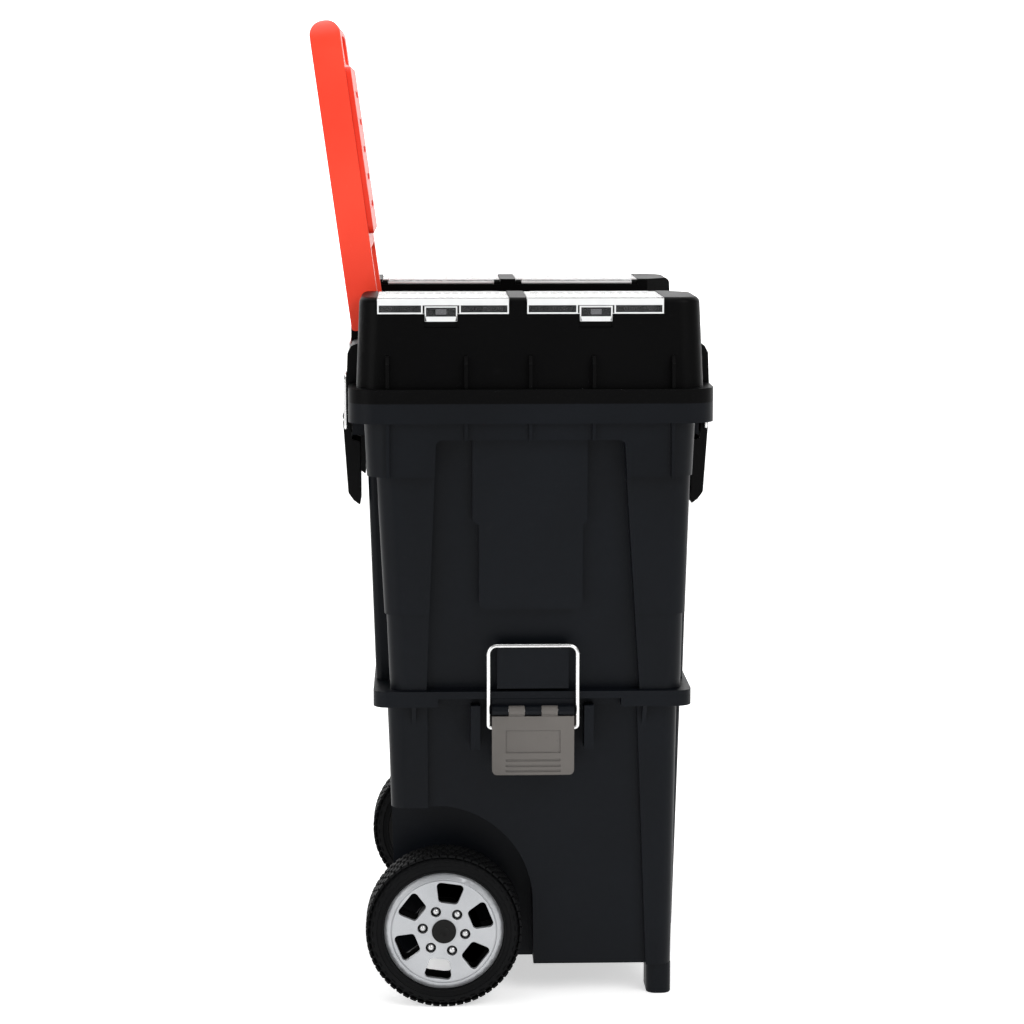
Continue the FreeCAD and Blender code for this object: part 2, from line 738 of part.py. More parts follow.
def both_banks(shapes):
    return [copy for shape in shapes for copy in both_sides(shape)]


def lid_outside():
    crown = even_taper(lid_low, lid_high, lid_corner)
    crown_edges = [e for e in crown.Edges if e.BoundBox.ZMin > lid_top - 0.1]
    crown = crown.makeFillet(lid_edge, crown_edges)
    return crown.fuse(ring_band(rim_half_x, rim_front, rim_back, seam, rim_high, rim_corner))


def lid_body():
    inner = lid_high[0] - 7.0
    outer = rim_half_x - 4.0
    top = rim_high + lid_rib_height
    ribs = []
    for y in rib_places:
        ribs.append(prism_x([(y - rib_half, rim_high - 1), (y + rib_half, rim_high - 1),
                             (y + rib_half, top), (y - rib_half, top)], inner, outer))
    body = lid_outside().fuse(both_banks(ribs))
    slope = prism_y([(outer - 6.0, top + 1), (outer - 1.0, top - 6.0), (outer + 1.0, top - 8.0),
                     (outer + 1.0, top + 1)], -past, past)
    body = body.cut(compound(both_sides(slope)))

    mouth = ring_band(collar_half_x - 9.0, collar_half_y - 3.5, collar_half_y - 3.5, seam - 1,
                      seam + lid_lip, lid_corner - wall)
    above = even_taper(inset(lid_low[:3] + (seam + lid_lip,), wall),
                       inset(at_height(lid_low, lid_high, lid_floor - wall), wall),
                       lid_corner - wall)
    return body.cut(mouth.fuse(above))


def lid_valley():
    """Space between the two organiser banks, wider at its ends."""
    over = 43.0                 # the cut runs this far past the lid
    v = valley_half
    front = -lid_high[1]
    back = lid_high[2]
    right = [(v + valley_chamfer + over, front - over), (v, front + valley_chamfer),
             (v, back - valley_rear_chamfer), (v + valley_rear_chamfer + over, back + over)]
    left = [(-x, y) for x, y in reversed(right)]
    return prism_z(right + left, lid_floor, lid_top + 10)


def cover_room(y0, y1):
    """Everything cut away for one cover of the right bank and its pocket."""
    a = y0 - cover_gap
    b = y1 + cover_gap
    bed = cover_barrel + 0.7
    above = lid_top + 5
    lap_face = lid_high[0] + 0.2
    return [
        prism_z(rectangle(pocket_inner, pocket_outer, y0 + 5, y1 - 5), lid_floor, above, 5),
        block(valley_half - 1, past, a, b, cover_seat, above),
        block(lap_face, past, a, b, lid_top - cover_drop - cover_gap, above),
        rod(bed, (cover_hinge_x, a, cover_hinge_z), (cover_hinge_x, b, cover_hinge_z)),
        block(cover_hinge_x - bed, cover_hinge_x + bed, a, b, cover_hinge_z, above),
        block(valley_half - 1, cover_hinge_x, a, b, cover_hinge_z - 1.5, above),
    ]


def make_lid():
    body = lid_body().cut(lid_valley())
    low = lid_floor - wall - 1
    end_inner = pocket_inner + valley_chamfer - 6.0
    hollows = [
        block(end_inner, pocket_outer - 2, wall - lid_high[1] + 5, cover_front[0] - 4, low,
              lid_top - lid_edge),
        block(pocket_inner, pocket_outer - 2, cover_front[1] + 3, cover_rear[0] - 3, low,
              lid_top - lid_edge),
    ]
    for _, (y0, y1) in cover_spans():
        hollows += cover_room(y0, y1)
    body = body.cut(compound(both_banks(hollows)))

    extra = []
    for _, (y0, y1) in cover_spans():
        for start in (y0, y1 - lug_length + 0.3):
            end = start + lug_length - 0.3
            lug = rod(cover_barrel, (cover_hinge_x, start, cover_hinge_z),
                      (cover_hinge_x, end, cover_hinge_z))
            base = block(cover_hinge_x - cover_barrel, cover_hinge_x + cover_barrel, start, end,
                         lid_top - 12, cover_hinge_z)
            extra += [lug, base]
        middle = (y0 + y1) / 2
        extra.append(block(pocket_inner - 1, pocket_outer + 1, middle - 1, middle + 1,
                           lid_floor - 1, lid_top - 14))
    outer = (collar_half_x - wall - 1, collar_half_y - wall - 1, collar_half_y - wall - 1)
    inner = tuple(size - wall - 1 for size in outer)
    ring = ring_band(*outer, seam - tongue, seam + lid_lip, 18)
    ring = ring.cut(ring_band(*inner, seam - tongue - 1, seam + lid_lip + 1, 14))
    body = body.fuse(both_banks(extra) + [ring]).removeSplitter()
    return body.cut(compound(make_cover_pins() + [bail_passages()]))


def make_cover_pins():
    pins = []
    for _, (y0, y1) in cover_spans():
        pins.append(rod(cover_pin_radius, (cover_hinge_x, y0 + 0.5, cover_hinge_z),
                        (cover_hinge_x, y1 - 0.5, cover_hinge_z)))
    return both_banks(pins)


def make_cover(y0, y1, tab_y):
    """Clear cover of the right bank: top, side lap, hinge barrel and snap tab."""
    gap = lug_length + 0.3
    under = lid_top - cover_thickness
    top = block(cover_hinge_x, lid_high[0] + 3.0, y0, y1, under, lid_top)
    top = top.cut(block(cover_hinge_x - 1, cover_hinge_x + 4.5, y0 - 1, y0 + gap, under - 1,
                        lid_top + 1))
    top = top.cut(block(cover_hinge_x - 1, cover_hinge_x + 4.5, y1 - gap, y1 + 1, under - 1,
                        lid_top + 1))
    lap = block(lid_high[0] + 0.6, lid_high[0] + 3.0, y0, y1, lid_top - cover_drop, lid_top)
    tab = block(lid_high[0] + 0.6, lid_high[0] + 4.0, tab_y - tab_half, tab_y + tab_half,
                lid_top - 22, lid_top - 8)
    barrel = rod(cover_barrel, (cover_hinge_x, y0 + gap, cover_hinge_z),
                 (cover_hinge_x, y1 - gap, cover_hinge_z))
    web = block(cover_hinge_x, cover_hinge_x + cover_barrel, y0 + gap, y1 - gap, cover_hinge_z,
                lid_top)
    cover = fuse([top, lap, tab, barrel, web])
    bore = rod(cover_pin_radius + running_clearance, (cover_hinge_x, y0 - 1, cover_hinge_z),
               (cover_hinge_x, y1 + 1, cover_hinge_z))
    return cover.cut(bore)


tab_half = 15.0
tab_places = {"front": -61.0, "rear": 83.0}
lid = make_lid()
tab_beds = []
for end, (y0, y1) in cover_spans():
    tab_y = tab_places[end]
    cover = make_cover(y0, y1, tab_y)
    nodes["right_" + end + "_cover"] = cover
    nodes["left_" + end + "_cover"] = mirrored(cover)
    bed_half = tab_half + cover_gap
    tab_beds.append(block(lid_high[0] + 0.2, past, tab_y - bed_half, tab_y + bed_half,
                          lid_top - 28, lid_top - 5))
lid = lid.cut(compound(both_banks(tab_beds)))
nodes["cover_pins"] = compound(make_cover_pins())


# ---- lid catches ---------------------------------------------------------------------
catch_half = 37.0
catch_out = rim_front + 1.2
profile = [(-156, rim_high - 8), (-catch_out, rim_high - 8), (1.4 - catch_out, rim_high + 28),
           (5.0 - catch_out, rim_high + 35), (-156, rim_high + 40)]
catch = prism_x(profile, -catch_half, catch_half, [0, 1, 4, 3, 0])
bail_room = block(-recess_half, recess_half, -past, -recess_out, rim_low, rim_high + 11)
bail_rooms = compound(lid_latch_placed(bail_room).values())
catches = lid_latch_placed(catch, 0.0).values()
lid_block = lid_outside().cut(lid_valley())
nodes["lid_catches"] = compound([copy.cut(bail_rooms).cut(lid_outside()) for copy in catches])


# ---- pull handle ---------------------------------------------------------------------
arm_width = 20.0
plate_proud = 5.0
skin = 7.0                      # front skin of the handle over its hollow back
bracket_half = handle_half - arm_width - 0.6
handle_pin_radius = 4.0
opening_top = handle_pivot_z + 62.0
handle_top = handle_pivot_z + handle_reach
grip_high = handle_top - grip_bar
grip_low = grip_high - grip_opening
handle_front = handle_pivot_y - handle_thickness / 2
handle_back = handle_pivot_y + handle_thickness / 2


def leaned(shape):
    copy = shape.copy()
    copy.rotate(Vector(0, handle_pivot_y, handle_pivot_z), Vector(1, 0, 0), -handle_lean)
    return copy


def handle_window(half, low, high, y0, y1, radii):
    """Rectangular cut through the handle, centred on the chest."""
    return prism_y(rectangle(-half, half, low, high), y0, y1, radii)


def make_handle():
    low = handle_pivot_z - handle_thickness / 2
    side = rectangle(handle_front, handle_back, low, handle_top)
    profile = prism_x(side, -handle_half, handle_half, [4, 4, 14, 14])
    front = handle_front - 10
    back = handle_back + 10
    envelope = handle_window(handle_half, low - 20, handle_top + 0.5, front, back, [0, 0, 30, 30])
    inner = handle_half - arm_width
    foot = handle_window(inner, low - 40, opening_top, front, back, [0, 0, 14, 14])
    grip = handle_window(60, grip_low, grip_high, front, back, 12)
    hollow = handle_window(inner, opening_top + 12, grip_low - 8, handle_front + skin, back, 10)
    handle = profile.common(envelope).cut(compound([foot, grip, hollow]))
    bores = []
    for side in (-1, 1):
        bores.append(rod(handle_pin_radius + running_clearance,
                         (0, handle_pivot_y, handle_pivot_z),
                         (side * (handle_half - 3.5), handle_pivot_y, handle_pivot_z)))
    return handle.cut(compound(bores))


def make_handle_plate():
    low = opening_top + 14
    high = grip_low - 4
    face = handle_front - plate_proud
    plate = handle_window(handle_half - 9, low, high, face, handle_front, 10)
    grooves = 5
    for i in range(grooves):
        z = low + 26 + i * (high - low - 52) / (grooves - 1)
        plate = plate.cut(handle_window(52, z - 3, z + 3, face - 1, face + 1.4, 2.9))
    return plate


def make_handle_pins():
    """From the bracket into blind holes in the arms."""
    pins = []
    for side in (-1, 1):
        start = (side * (bracket_half - 24), handle_pivot_y, handle_pivot_z)
        end = (side * (handle_half - 4.0), handle_pivot_y, handle_pivot_z)
        pins.append(rod(handle_pin_radius, start, end))
    return pins


def make_bracket():
    """Block between the handle's arms, bolted to the valley floor and the lid's back."""
    p = handle_pivot_y
    z = handle_pivot_z
    profile = [(p - 22, lid_floor), (p + 14, lid_floor), (p + 14, z - 10), (p + 11, z + 9),
               (p - 8, z + 10), (p - 22, lid_floor + 9)]
    bracket = prism_x(profile, -bracket_half, bracket_half, [1, 1, 4, 6, 6, 3])
    skirt = block(-bracket_half, bracket_half, p, p + 14, lid_floor - 22, lid_floor + 2)
    bracket = fuse([bracket, skirt])
    pocket = block(-bracket_half + 28, bracket_half - 28, p - 15, p + 8, lid_floor - 1, z + 2)
    return bracket.cut(pocket)


def bracket_screw_places():
    return [(x, lid_floor - 10) for x in (-62, -21, 21, 62)]


handle = leaned(make_handle())
plate = leaned(make_handle_plate())
pins = make_handle_pins()
bracket = make_bracket().cut(lid_block).cut(compound(pins))
screws = []
for x, z in bracket_screw_places():
    back = handle_pivot_y + 14
    head = rod(4.5, (x, back, z), (x, back + 2.2, z))
    socket = rod(2.0, (x, back + 1.0, z), (x, back + 4, z))
    shank = rod(2.2, (x, back - 22, z), (x, back + 1, z))
    screws.append(head.fuse(shank).cut(socket))
bracket = bracket.cut(compound(screws))
lid = lid.cut(compound(screws))

nodes["lid"] = lid
nodes["pull_handle"] = handle
nodes["handle_plate"] = plate
nodes["handle_pins"] = compound(pins)
nodes["handle_bracket"] = bracket
nodes["bracket_screws"] = compound(screws)


# ---- origin and export ---------------------------------------------------------------
ends = compound([nodes["pull_handle"], nodes["front_left_lid_lever"]])
ends = ends.optimalBoundingBox(False, False)
middle_y = (ends.YMin + ends.YMax) / 2
os.makedirs("parts", exist_ok=True)
for name, shape in nodes.items():
    placed = shape.copy()
    placed.translate(Vector(0, -middle_y, 0))
    placed.exportStep(os.path.join("parts", name + ".step"))
print(len(nodes), "nodes, origin moved by", round(-middle_y, 4), "mm along Y")
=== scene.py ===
import json
import math

import bmesh
import bpy
from mathutils import Matrix, Vector


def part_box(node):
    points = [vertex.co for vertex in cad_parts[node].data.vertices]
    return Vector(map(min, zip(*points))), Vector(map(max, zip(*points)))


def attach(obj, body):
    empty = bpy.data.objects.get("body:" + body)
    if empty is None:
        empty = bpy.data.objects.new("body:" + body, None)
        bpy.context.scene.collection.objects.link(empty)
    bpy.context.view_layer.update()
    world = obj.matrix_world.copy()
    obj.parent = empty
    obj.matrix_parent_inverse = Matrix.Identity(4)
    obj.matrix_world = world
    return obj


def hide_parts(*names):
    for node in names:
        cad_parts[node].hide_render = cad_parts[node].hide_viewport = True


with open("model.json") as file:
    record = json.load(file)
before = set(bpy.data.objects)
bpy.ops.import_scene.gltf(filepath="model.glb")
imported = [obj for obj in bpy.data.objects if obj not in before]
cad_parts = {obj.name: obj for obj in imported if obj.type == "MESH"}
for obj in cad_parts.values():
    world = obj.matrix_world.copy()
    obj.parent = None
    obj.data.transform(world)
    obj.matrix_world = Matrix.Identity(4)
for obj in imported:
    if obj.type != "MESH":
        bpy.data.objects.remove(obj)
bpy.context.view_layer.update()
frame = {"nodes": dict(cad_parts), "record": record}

MM = 0.001


# ---- material maths ------------------------------------------------------------------
class Value:
    """A socket in a material, so that sums on it are written as sums."""

    def __init__(self, recipe, socket):
        self.recipe = recipe
        self.socket = socket

    def maths(self, operation, *values):
        inputs = dict(enumerate(values))
        return self.recipe.node("ShaderNodeMath", {"operation": operation}, inputs)

    def __add__(self, other):
        return self.maths("ADD", self, other)

    __radd__ = __add__

    def __sub__(self, other):
        return self.maths("SUBTRACT", self, other)

    def __mul__(self, other):
        return self.maths("MULTIPLY", self, other)

    __rmul__ = __mul__

    def ramp(self, low, high):
        """0 below low, 1 above high, straight between."""
        inputs = {0: self, 1: low, 2: high}
        return self.recipe.node("ShaderNodeMapRange", {"clamp": True}, inputs)


class Recipe:
    """One material: nodes are added by type, settings and inputs."""

    def __init__(self, name):
        self.material = bpy.data.materials.new(name)
        self.material.use_nodes = True
        self.tree = self.material.node_tree
        self.shader = self.tree.nodes["Principled BSDF"]

    def node(self, kind, settings=None, inputs=None, output=0):
        made = self.tree.nodes.new(kind)
        for key, value in (settings or {}).items():
            setattr(made, key, value)
        for key, value in (inputs or {}).items():
            self.give(made.inputs[key], value)
        return Value(self, made.outputs[output])

    def give(self, socket, value):
        if isinstance(value, Value):
            self.tree.links.new(value.socket, socket)
        else:
            socket.default_value = value

    def set(self, **sockets):
        for name, value in sockets.items():
            self.give(self.shader.inputs[name.replace("_", " ")], value)

    def place(self, scale=(1, 1, 1), turn=(0, 0, 0)):
        """Where a point is on the piece, stretched by scale."""
        here = self.node("ShaderNodeTexCoord", output="Object")
        inputs = {"Vector": here, "Scale": scale, "Rotation": turn}
        return self.node("ShaderNodeMapping", inputs=inputs)

    def noise(self, scale, detail=2.0, where=None, roughness=0.5):
        inputs = {"Vector": where or self.place(), "Scale": scale, "Detail": detail,
                  "Roughness": roughness}
        return self.node("ShaderNodeTexNoise", inputs=inputs)

    def mix(self, share, first, second):
        """Colour between first and second."""
        inputs = {0: share, 6: first, 7: second}
        return self.node("ShaderNodeMix", {"data_type": "RGBA"}, inputs, output=2)

    def bump(self, height, depth, strength=1.0):
        inputs = {"Height": height, "Distance": depth, "Strength": strength}
        return self.node("ShaderNodeBump", inputs=inputs)


def colour(red, green, blue, gain=1.0):
    return (red * gain, green * gain, blue * gain, 1.0)


def moulded_plastic(name, base, roughness, shine=0.1, scuffs=0.06):
    """Spark-textured moulding: fine grain, cloudy gloss and a few hairline scuffs."""
    tint_change = 0.18
    gloss_change = 0.1
    grain_depth = 0.06 * MM
    recipe = Recipe(name)
    clouds = recipe.noise(9.0, 4.0)
    grain = recipe.noise(1500.0, 3.0, roughness=0.65)
    hairs = recipe.noise(60.0, 5.0, recipe.place((22.0, 1.0, 1.4), (0.25, 0.1, 0.6)), 0.7)
    hair_mask = hairs.ramp(0.64, 0.7)
    tint = recipe.mix(clouds.ramp(0.3, 0.7), colour(*base, 1 - tint_change),
                      colour(*base, 1 + tint_change))
    light = colour(*[0.7 * channel + 0.02 for channel in base])
    tint = recipe.mix(hair_mask * scuffs, tint, light)
    gloss = roughness + (clouds - 0.5) * gloss_change + (grain - 0.5) * 0.08
    recipe.set(Base_Color=tint, Roughness=gloss + hair_mask * 0.05,
               Normal=recipe.bump(grain, grain_depth))
    recipe.set(IOR=1.49, Specular_IOR_Level=shine)
    return recipe.material


def tyre_rubber():
    recipe = Recipe("tyre_rubber")
    clouds = recipe.noise(26.0, 5.0)
    pores = recipe.noise(1800.0, 3.0, roughness=0.7)
    dust = recipe.noise(70.0, 6.0).ramp(0.5, 0.75)
    tint = recipe.mix(clouds.ramp(0.35, 0.7), colour(0.0016, 0.0017, 0.0020),
                      colour(0.0032, 0.0034, 0.0038))
    tint = recipe.mix(dust * 0.05, tint, colour(0.03, 0.028, 0.025))
    recipe.set(Base_Color=tint, Roughness=0.62 + (clouds - 0.5) * 0.2 + dust * 0.08,
               Normal=recipe.bump(pores, 0.00008))
    recipe.set(Specular_IOR_Level=0.09)
    return recipe.material


def silver_paint():
    """Metallic paint on the wheel trims: flake sparkle under a satin coat."""
    recipe = Recipe("silver_paint")
    flake = recipe.noise(2600.0, 2.0, roughness=0.8)
    clouds = recipe.noise(22.0, 3.0)
    tint = recipe.mix(clouds.ramp(0.3, 0.7), colour(0.36, 0.37, 0.385), colour(0.46, 0.47, 0.485))
    tint = recipe.mix(flake.ramp(0.55, 0.7) * 0.35, tint, colour(0.72, 0.73, 0.75))
    recipe.set(Base_Color=tint, Roughness=0.34 + (clouds - 0.5) * 0.12,
               Normal=recipe.bump(flake, 0.00002))
    recipe.set(Metallic=0.55, Coat_Weight=0.25, Coat_Roughness=0.15)
    return recipe.material


def bright_zinc(name, roughness, base=0.72):
    """Zinc-plated steel, drawn marks along the wire."""
    recipe = Recipe(name)
    drawn = recipe.noise(240.0, 4.0, recipe.place((1.0, 1.0, 0.06)))
    spots = recipe.noise(420.0, 3.0).ramp(0.6, 0.75)
    tint = recipe.mix(drawn, colour(base, base, base, 0.86), colour(base, base, base, 1.12))
    tint = recipe.mix(spots * 0.25, tint, colour(0.42, 0.42, 0.43))
    recipe.set(Base_Color=tint, Roughness=roughness + (drawn - 0.5) * 0.18 + spots * 0.1,
               Normal=recipe.bump(drawn, 0.00002))
    recipe.set(Metallic=1.0)
    return recipe.material


def clear_plastic(name, alpha, base=(0.82, 0.84, 0.85)):
    """Clear moulded cover with faint handling marks."""
    recipe = Recipe(name)
    smears = recipe.noise(30.0, 5.0, recipe.place((1.0, 3.0, 1.0))).ramp(0.45, 0.75)
    ripple = recipe.noise(45.0, 2.0)
    recipe.set(Base_Color=recipe.mix(smears * 0.3, colour(*base), colour(0.95, 0.95, 0.95)),
               Roughness=0.06 + smears * 0.16, Alpha=alpha + smears * 0.02,
               Normal=recipe.bump(ripple, 0.0002, 0.4))
    recipe.set(IOR=1.5, Specular_IOR_Level=0.2)
    return recipe.material


def handle_plastic():
    recipe = Recipe("handle_plastic")
    clouds = recipe.noise(11.0, 4.0)
    grain = recipe.noise(1300.0, 3.0, roughness=0.6)
    hairs = recipe.noise(55.0, 5.0, recipe.place((20.0, 1.5, 1.0), (0.1, 0.5, 0.3)), 0.7)
    tint = recipe.mix(clouds.ramp(0.3, 0.7), colour(0.80, 0.046, 0.020), colour(0.86, 0.060, 0.028))
    tint = recipe.mix(hairs.ramp(0.64, 0.72) * 0.10, tint, colour(0.98, 0.22, 0.13))
    recipe.set(Base_Color=tint, Roughness=0.36 + (clouds - 0.5) * 0.1 + (grain - 0.5) * 0.06,
               Normal=recipe.bump(grain, 0.00004))
    recipe.set(IOR=1.5, Specular_IOR_Level=0.24)
    return recipe.material


finishes = {
    "body_plastic": moulded_plastic("body_plastic", (0.0028, 0.0037, 0.0055), 0.42, 0.11),
    "lid_plastic": moulded_plastic("lid_plastic", (0.0009, 0.0009, 0.0010), 0.40, 0.06),
    "latch_black": moulded_plastic("latch_black", (0.0022, 0.0022, 0.0024), 0.42, 0.07),
    "lever_grey": moulded_plastic("lever_grey", (0.106, 0.098, 0.091), 0.45, 0.2, 0.35),
    "hub_plastic": moulded_plastic("hub_plastic", (0.0042, 0.0040, 0.0040), 0.45, 0.15),
    "tyre": tyre_rubber(),
    "cap_silver": silver_paint(),
    "wire_steel": bright_zinc("wire_steel", 0.2),
    "steel": bright_zinc("plated_steel", 0.32, 0.6),
    "clear_plastic": clear_plastic("clear_plastic", 0.02, (0.66, 0.68, 0.7)),
    "handle_red": handle_plastic(),
}
clear_top = clear_plastic("clear_top", 0.55, (0.84, 0.86, 0.86))
# whiter, more opaque clear plastic: a painted highlight for the light the covers' edges and beads
# catch; the lap's frosted band uses it too
clear_frost_and_edge_highlight = clear_plastic("clear_frost_and_edge_highlight", 0.75, (0.86, 0.87, 0.87))
clip_centre = moulded_plastic("clip_centre", (0.10, 0.10, 0.105), 0.35)
node_slot = {row["node"]: row["material_slot"] for row in frame["record"]["subparts"]}
node_body = {node: body for body, members in frame["record"]["behaviour"]["bodies"].items()
             for node in members}


# ---- piece helpers -------------------------------------------------------------------
def new_piece(name, mesh, slot, body):
    piece = bpy.data.objects.new(name, mesh)
    bpy.context.scene.collection.objects.link(piece)
    if not mesh.materials:
        mesh.materials.append(finishes[slot])
    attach(piece, body)
    return piece


def evaluated_mesh(piece):
    """The piece's mesh with its modifiers in it."""
    graph = bpy.context.evaluated_depsgraph_get()
    graph.update()
    return bpy.data.meshes.new_from_object(piece.evaluated_get(graph))


def merged_copy(node, flat_angle=0.6):
    """A CAD node's mesh with its triangles joined and its flat faces made whole."""
    shape = bmesh.new()
    shape.from_mesh(frame["nodes"][node].data)
    bmesh.ops.remove_doubles(shape, verts=shape.verts, dist=2e-6)
    bmesh.ops.dissolve_limit(shape, angle_limit=math.radians(flat_angle), verts=shape.verts,
                             edges=shape.edges, use_dissolve_boundaries=False)
    return shape


def mark_sharp(shape, angle):
    for edge in shape.edges:
        if len(edge.link_faces) == 2:
            edge.smooth = edge.calc_face_angle(0.0) < math.radians(angle)
    for face in shape.faces:
        face.smooth = True


def softened(node, width, segments=2):
    """Stands for a CAD node: the same shape, with its sharp edges rounded off."""
    shape = merged_copy(node)
    mark_sharp(shape, 30)
    mesh = bpy.data.meshes.new(node)
    shape.to_mesh(mesh)
    shape.free()
    helper = bpy.data.objects.new("helper", mesh)
    bpy.context.scene.collection.objects.link(helper)
    if width:
        bevel = helper.modifiers.new("round", "BEVEL")
        bevel.width = width
        bevel.segments = segments
        bevel.limit_method = "ANGLE"
        bevel.angle_limit = math.radians(32)
        bevel.use_clamp_overlap = True
        bevel.loop_slide = False
    even = helper.modifiers.new("even", "WEIGHTED_NORMAL")
    even.keep_sharp = True
    result = evaluated_mesh(helper)
    bpy.data.objects.remove(helper)
    result.materials.clear()
    slot = node_slot[node]
    piece = new_piece(node + "_finished", result, slot, node_body[node])
    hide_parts(node)
    return piece


def mesh_from(shape, name, smooth_angle=30):
    bmesh.ops.recalc_face_normals(shape, faces=shape.faces)
    mark_sharp(shape, smooth_angle)
    mesh = bpy.data.meshes.new(name)
    shape.to_mesh(mesh)
    shape.free()
    return mesh


# ---- geometry node helper ------------------------------------------------------------
class Tree:
    """A geometry node tree with named inputs."""

    def __init__(self, name, sizes):
        self.tree = bpy.data.node_groups.new(name, "GeometryNodeTree")
        interface = self.tree.interface
        interface.new_socket("Geometry", in_out="INPUT", socket_type="NodeSocketGeometry")
        self.sizes = {}
        for label, (kind, value) in sizes.items():
            socket = interface.new_socket(label, in_out="INPUT", socket_type="NodeSocket" + kind)
            socket.default_value = value
            self.sizes[label] = socket.identifier
        interface.new_socket("Geometry", in_out="OUTPUT", socket_type="NodeSocketGeometry")
        self.start = self.tree.nodes.new("NodeGroupInput")
        self.end = self.tree.nodes.new("NodeGroupOutput")

    def size(self, label):
        return self.start.outputs[label]

    def node(self, kind, settings=None, inputs=None, output=0):
        made = self.tree.nodes.new(kind)
        for key, value in (settings or {}).items():
            setattr(made, key, value)
        for key, value in (inputs or {}).items():
            if isinstance(value, bpy.types.NodeSocket):
                self.tree.links.new(value, made.inputs[key])
            else:
                made.inputs[key].default_value = value
        return made.outputs[output]

    def maths(self, operation, first, second=0.0):
        return self.node("ShaderNodeMath", {"operation": operation}, {0: first, 1: second})

    def finish(self, instances, material):
        real = self.node("GeometryNodeRealizeInstances", inputs={"Geometry": instances})
        done = self.node("GeometryNodeSetMaterial", inputs={"Geometry": real,
                                                            "Material": material})
        self.tree.links.new(done, self.end.inputs[0])

    def run(self, values):
        """The tree's mesh for these sizes."""
        helper = bpy.data.objects.new("helper", bpy.data.meshes.new("helper"))
        bpy.context.scene.collection.objects.link(helper)
        modifier = helper.modifiers.new("nodes", "NODES")
        modifier.node_group = self.tree
        for label, value in values.items():
            modifier[self.sizes[label]] = value
        mesh = evaluated_mesh(helper)
        bpy.data.objects.remove(helper)
        return mesh


def ring_tree(pattern, material):
    """The pattern object repeated round the X axis."""
    tree = Tree("ring_pattern", {"Count": ("Int", 60), "Radius": ("Float", 0.07),
                                 "Along": ("Float", 0.0), "Phase": ("Float", 0.0)})
    circle = tree.node("GeometryNodeMeshLine", {"mode": "OFFSET"},
                       {"Count": tree.size("Count"), "Offset": (0, 0, 0)})
    index = tree.node("GeometryNodeInputIndex")
    share = tree.maths("DIVIDE", tree.maths("ADD", index, tree.size("Phase")), tree.size("Count"))
    angle = tree.maths("MULTIPLY", share, 2 * math.pi)
    turn = tree.node("ShaderNodeCombineXYZ", inputs={"X": angle})
    move = tree.node("ShaderNodeCombineXYZ", inputs={
        "X": tree.size("Along"),
        "Y": tree.maths("MULTIPLY", tree.maths("SINE", angle),
                        tree.maths("MULTIPLY", tree.size("Radius"), -1.0)),
        "Z": tree.maths("MULTIPLY", tree.maths("COSINE", angle), tree.size("Radius"))})
    points = tree.node("GeometryNodeSetPosition", inputs={"Geometry": circle, "Position": move})
    shape = tree.node("GeometryNodeObjectInfo", inputs={"Object": pattern}, output="Geometry")
    copies = tree.node("GeometryNodeInstanceOnPoints",
                       inputs={"Points": points, "Instance": shape, "Rotation": turn})
    tree.finish(copies, material)
    return tree


def grid_tree(pattern, material):
    """The pattern object repeated over a flat rectangle."""
    tree = Tree("grid_pattern", {"Size X": ("Float", 0.08), "Size Y": ("Float", 0.1),
                                 "Count X": ("Int", 10), "Count Y": ("Int", 12)})
    grid = tree.node("GeometryNodeMeshGrid", inputs={
        "Size X": tree.size("Size X"), "Size Y": tree.size("Size Y"),
        "Vertices X": tree.size("Count X"), "Vertices Y": tree.size("Count Y")})
    shape = tree.node("GeometryNodeObjectInfo", inputs={"Object": pattern}, output="Geometry")
    copies = tree.node("GeometryNodeInstanceOnPoints", inputs={"Points": grid,
                                                              "Instance": shape})
    tree.finish(copies, material)
    return tree


def pattern_object(shape, name):
    """A hidden shape for a tree to repeat."""
    for face in shape.faces:
        face.smooth = False
    mesh = bpy.data.meshes.new(name)
    shape.to_mesh(mesh)
    shape.free()
    return bpy.data.objects.new(name, mesh)


def chamfered_block(length_x, length_y, height, draft=0.8):
    """Low block standing on z = 0, narrower at its top, with its top edge chamfered."""
    shape = bmesh.new()
    levels = [(0.0, 1.0), (0.72, 0.5 + draft / 2), (1.0, draft - 0.06)]
    rings = []
    for share, grow in levels:
        half_x = length_x / 2 * grow
        half_y = length_y / 2 * grow
        corners = [(-half_x, -half_y), (half_x, -half_y), (half_x, half_y), (-half_x, half_y)]
        rings.append([shape.verts.new((x, y, height * share)) for x, y in corners])
    for low, high in zip(rings, rings[1:]):
        for i in range(4):
            shape.faces.new((low[i], low[(i + 1) % 4], high[(i + 1) % 4], high[i]))
    shape.faces.new(rings[-1])
    shape.faces.new(rings[0][::-1])
    return shape


def low_dome(radius, height, sides=12, rings=3):
    shape = bmesh.new()
    loops = []
    for level in range(rings):
        angle = math.pi / 2 * level / rings
        loops.append([shape.verts.new((radius * math.cos(angle) * math.cos(turn),
                                       radius * math.cos(angle) * math.sin(turn),
                                       height * math.sin(angle)))
                      for turn in (2 * math.pi * i / sides for i in range(sides))])
    top = shape.verts.new((0, 0, height))
    for low, high in zip(loops, loops[1:]):
        for i in range(sides):
            shape.faces.new((low[i], low[(i + 1) % sides], high[(i + 1) % sides], high[i]))
    for i in range(sides):
        shape.faces.new((loops[-1][i], loops[-1][(i + 1) % sides], top))
    shape.faces.new(loops[0][::-1])
    return shape


